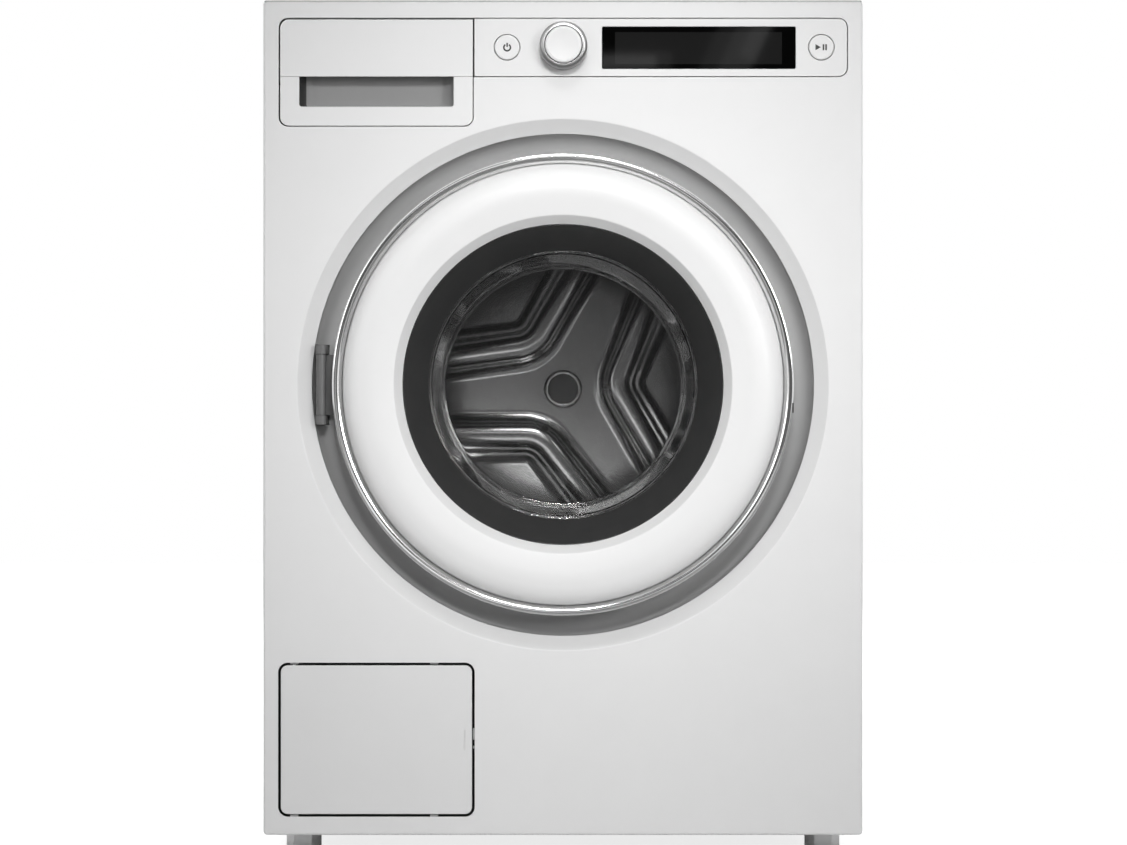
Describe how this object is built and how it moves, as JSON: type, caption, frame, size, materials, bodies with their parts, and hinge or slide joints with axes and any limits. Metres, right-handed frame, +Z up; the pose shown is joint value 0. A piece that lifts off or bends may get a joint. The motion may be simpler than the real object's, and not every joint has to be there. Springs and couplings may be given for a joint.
{
  "type": "front-loading washing machine",
  "caption": "White front-loading washing machine with a round glass door, program knob, display and detergent drawer.",
  "frame": {"origin": "centre of the bounding box's bottom face, on the floor", "axes": "+Z up, -Y out of the front with the door, +X to the right as seen from the front"},
  "size_m": [0.595, 0.631, 0.85],
  "materials": {
    "white_enamel": "satin white enamel",
    "white_laminate": "satin white laminate on board",
    "white_plastic": "satin white",
    "grey_plastic": "matt grey",
    "dark_plastic": "satin dark grey",
    "black_gloss": "gloss black",
    "chrome": "polished",
    "steel": "bright",
    "zinc": "zinc plated",
    "aluminium": "satin",
    "glass": "clear",
    "rubber": "matt",
    "concrete": "cast concrete",
    "circuit_board": "lacquered"
  },
  "bodies": {
    "cabinet": {"base_pan": "grey_plastic", "cabinet_wrapper": "white_enamel", "cable_gland": "dark_plastic", "control_board": "circuit_board", "control_panel": "white_enamel", "damper_cylinder_left": "zinc", "damper_cylinder_right": "zinc", "dispenser_hose": "rubber", "display_window": "black_gloss", "door_lock": "dark_plastic", "door_seal": "rubber", "door_surround": "dark_plastic", "drain_pump": "dark_plastic", "drawer_housing": "grey_plastic", "fill_hose": "rubber", "front_panel": "white_enamel", "hinge_bracket": "zinc", "inlet_valve": "grey_plastic", "rear_cover": "grey_plastic", "service_recess": "grey_plastic", "sump_hose": "rubber", "suspension_spring_left": "steel", "suspension_spring_right": "steel", "top_panel": "white_laminate"},
    "tub": {"tub_barrel": "grey_plastic", "tub_front": "grey_plastic", "drum_bearing": "steel", "heating_element": "steel", "counterweight": "concrete", "damper_rod_left": "steel", "damper_rod_right": "steel", "motor": "aluminium", "drive_belt": "rubber"},
    "drum": {"drum_shell": "steel", "hub_cap": "chrome", "drum_spider": "aluminium", "drum_lifter_1": "grey_plastic", "drum_lifter_2": "grey_plastic", "drum_lifter_3": "grey_plastic", "drum_pulley": "aluminium"},
    "motor_rotor": {"motor_pulley": "steel"},
    "door": {"door_trim_ring": "chrome", "door_frame": "white_plastic", "door_cone": "black_gloss", "door_glass": "glass", "door_back_ring": "grey_plastic"},
    "door_hook": {"door_hook": "steel"},
    "drawer": {"drawer_front": "white_plastic", "drawer_grip_plate": "white_plastic", "detergent_tray": "white_plastic"},
    "program_knob": {"knob_ring": "aluminium", "knob_cap": "white_plastic"},
    "power_button": {"power_button": "white_plastic"},
    "start_button": {"start_button": "white_plastic"},
    "service_flap": {"service_flap": "white_plastic"},
    "filter_plug": {"filter_plug": "dark_plastic"},
    "foot_front_left": {"foot_front_left": "grey_plastic"},
    "foot_front_right": {"foot_front_right": "grey_plastic"},
    "foot_rear_left": {"foot_rear_left": "grey_plastic"},
    "foot_rear_right": {"foot_rear_right": "grey_plastic"}
  },
  "joints": [
    {"name": "tub_bounce", "type": "slide", "parent": "cabinet", "child": "tub", "axis": [0, 0, 1], "range_m": [-0.008, 0.008], "stiffness_N_per_m": 20000, "springref_m": 0.01575, "deforming": ["suspension_spring_left", "suspension_spring_right", "dispenser_hose", "sump_hose", "door_seal"]},
    {"name": "drum_spin", "type": "hinge", "parent": "tub", "child": "drum", "pos_m": [0, 0.1185, 0.4685], "axis": [0, 1, 0], "continuous": true},
    {"name": "motor_spin", "type": "hinge", "parent": "tub", "child": "motor_rotor", "pos_m": [0, 0.2305, 0.135], "axis": [0, 1, 0], "continuous": true},
    {"name": "door_swing", "type": "hinge", "parent": "cabinet", "child": "door", "pos_m": [-0.24, -0.2805, 0.4685], "axis": [0, 0, -1], "range_deg": [0, 115]},
    {"name": "door_hook_tilt", "type": "hinge", "parent": "door", "child": "door_hook", "pos_m": [0.196, -0.2594, 0.446], "axis": [0, 0, 1], "range_deg": [0, 8], "stiffness_Nm_per_rad": 0.3, "springref_deg": -5.73},
    {"name": "drawer_pull", "type": "slide", "parent": "cabinet", "child": "drawer", "axis": [0, -1, 0], "range_m": [0, 0.2]},
    {"name": "program_knob_turn", "type": "hinge", "parent": "cabinet", "child": "program_knob", "pos_m": [0.0004, -0.2815, 0.8039], "axis": [0, 1, 0], "continuous": true},
    {"name": "power_button_press", "type": "slide", "parent": "cabinet", "child": "power_button", "axis": [0, 1, 0], "range_m": [0, 0.002], "stiffness_N_per_m": 600, "springref_m": -0.0015},
    {"name": "start_button_press", "type": "slide", "parent": "cabinet", "child": "start_button", "axis": [0, 1, 0], "range_m": [0, 0.002], "stiffness_N_per_m": 600, "springref_m": -0.0015},
    {"name": "service_flap_swing", "type": "hinge", "parent": "cabinet", "child": "service_flap", "pos_m": [-0.267, -0.2755, 0.11625], "axis": [0, 0, -1], "range_deg": [0, 90]},
    {"name": "filter_plug_turn", "type": "hinge", "parent": "cabinet", "child": "filter_plug", "pos_m": [-0.185, -0.2315, 0.105], "axis": [0, 1, 0], "range_deg": [0, 90]},
    {"name": "foot_front_left_screw", "type": "slide", "parent": "cabinet", "child": "foot_front_left", "axis": [0, 0, 1], "range_m": [-0.015, 0]},
    {"name": "foot_front_right_screw", "type": "slide", "parent": "cabinet", "child": "foot_front_right", "axis": [0, 0, 1], "range_m": [-0.015, 0]},
    {"name": "foot_rear_left_screw", "type": "slide", "parent": "cabinet", "child": "foot_rear_left", "axis": [0, 0, 1], "range_m": [-0.015, 0]},
    {"name": "foot_rear_right_screw", "type": "slide", "parent": "cabinet", "child": "foot_rear_right", "axis": [0, 0, 1], "range_m": [-0.015, 0]}
  ],
  "couplings": [
    {"joint": "motor_spin", "follows": "drum_spin", "ratio": 11.667}
  ]
}
